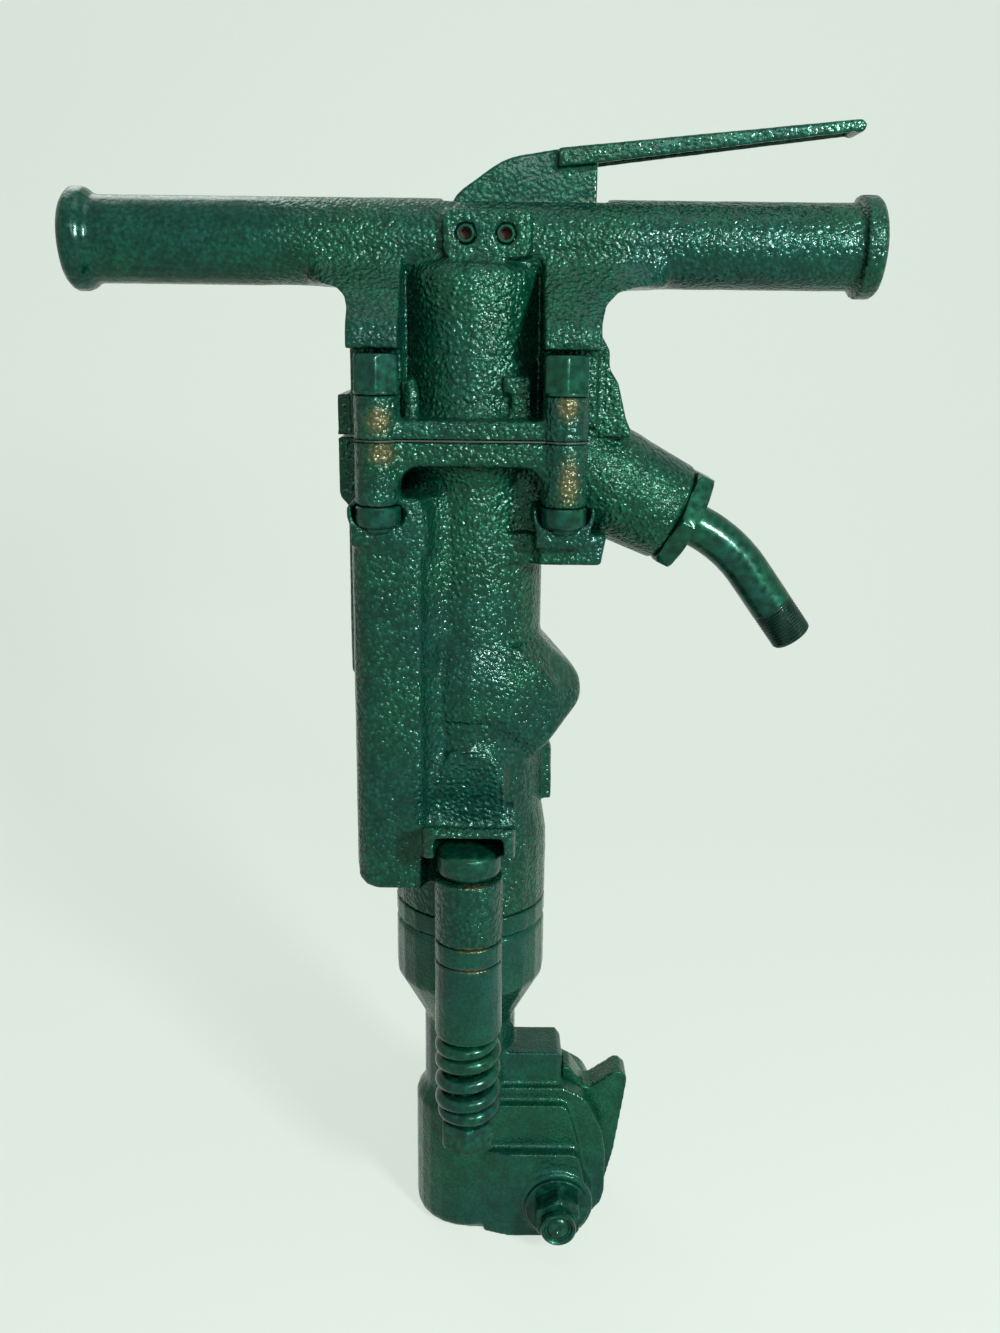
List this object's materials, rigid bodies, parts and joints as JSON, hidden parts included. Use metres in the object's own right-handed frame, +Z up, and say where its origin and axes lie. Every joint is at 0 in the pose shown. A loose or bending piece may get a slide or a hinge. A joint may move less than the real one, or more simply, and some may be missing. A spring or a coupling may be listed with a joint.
{
  "type": "jackhammer",
  "caption": "Pneumatic paving breaker with T grips, throttle lever, slanted inlet with a bent pipe, exhaust box, sprung side rods and a latched tool socket.",
  "frame": {"origin": "centre of the front head's bottom face, where the tool enters", "axes": "+Z up along the tool's axis, +X toward the end of the throttle lever, -Y toward the side with the pad"},
  "size_m": [0.472, 0.1784, 0.7181],
  "materials": {
    "green_paint": "glossy hammered green paint over castings",
    "green_steel": "glossy green paint over steel",
    "steel": "machined",
    "pin_steel": "brown worn steel",
    "bronze": "machined",
    "gasket_fibre": "worn fibre sheet",
    "rubber": "matte"
  },
  "bodies": {
    "front_head": {"front_head": "green_paint", "tool_bush": "steel", "latch_bolt": "green_steel", "latch_nut": "green_steel", "latch_washer_front": "green_steel", "latch_washer_rear": "green_steel", "latch_spring": "steel", "anvil_bush": "green_paint", "side_rod_spring_front": "green_steel", "side_rod_spring_rear": "green_steel"},
    "cylinder": {"cylinder": "green_paint", "backhead": "green_paint", "backhead_gasket": "gasket_fibre", "backhead_bolt_1": "green_steel", "backhead_bolt_2": "green_steel", "backhead_bolt_3": "green_steel", "backhead_bolt_4": "green_steel", "backhead_nut_1": "green_steel", "backhead_nut_2": "green_steel", "backhead_nut_3": "green_steel", "backhead_nut_4": "green_steel", "side_rod_front": "green_steel", "side_rod_rear": "green_steel", "side_rod_nut_front": "green_steel", "side_rod_nut_rear": "green_steel", "valve_box": "steel", "valve_cap": "steel", "lever_pivot_pin": "pin_steel", "lever_stop_pin": "pin_steel", "throttle_seat": "bronze", "throttle_spring": "steel", "inlet_nut": "green_paint", "inlet_seal": "rubber", "inlet_strainer": "bronze"},
    "throttle_lever": {"throttle_lever": "green_paint"},
    "throttle_valve": {"throttle_valve": "steel"},
    "inlet_pipe": {"inlet_pipe": "green_steel"},
    "piston": {"piston": "steel"},
    "valve_disc": {"valve_disc": "steel"},
    "anvil": {"anvil": "steel"},
    "latch": {"latch": "green_paint"},
    "latch_plunger": {"latch_plunger": "steel"}
  },
  "joints": [
    {"name": "side_rod_give", "type": "slide", "parent": "front_head", "child": "cylinder", "axis": [0, 0, 1], "range_m": [0, 0.006], "stiffness_N_per_m": 60000, "deforming": ["side_rod_spring_front", "side_rod_spring_rear"]},
    {"name": "lever_press", "type": "hinge", "parent": "cylinder", "child": "throttle_lever", "pos_m": [-0.004, 0, 0.653], "axis": [0, 1, 0], "range_deg": [0, 7.2], "stiffness_Nm_per_rad": 25, "springref_deg": -6.88},
    {"name": "throttle_travel", "type": "slide", "parent": "cylinder", "child": "throttle_valve", "axis": [0, 0, -1], "range_m": [0, 0.0076], "deforming": ["throttle_spring"]},
    {"name": "pipe_swivel", "type": "hinge", "parent": "cylinder", "child": "inlet_pipe", "pos_m": [0.1235, 0, 0.4925], "axis": [0.8988, 0, -0.4384], "continuous": true},
    {"name": "piston_stroke", "type": "slide", "parent": "cylinder", "child": "piston", "axis": [0, 0, 1], "range_m": [0, 0.105]},
    {"name": "valve_lift", "type": "slide", "parent": "cylinder", "child": "valve_disc", "axis": [0, 0, 1], "range_m": [0, 0.0012]},
    {"name": "anvil_lift", "type": "slide", "parent": "front_head", "child": "anvil", "axis": [0, 0, 1], "range_m": [0, 0.005]},
    {"name": "latch_swing", "type": "hinge", "parent": "front_head", "child": "latch", "pos_m": [0.06, 0, 0.027], "axis": [0, 1, 0], "range_deg": [0, 55]},
    {"name": "plunger_travel", "type": "slide", "parent": "front_head", "child": "latch_plunger", "axis": [0, 0, 1], "range_m": [0, 0.003], "stiffness_N_per_m": 1500, "springref_m": -0.001, "deforming": ["latch_spring"]}
  ],
  "couplings": [
    {"joint": "throttle_travel", "follows": "lever_press", "m_per_rad": 0.0582}
  ]
}
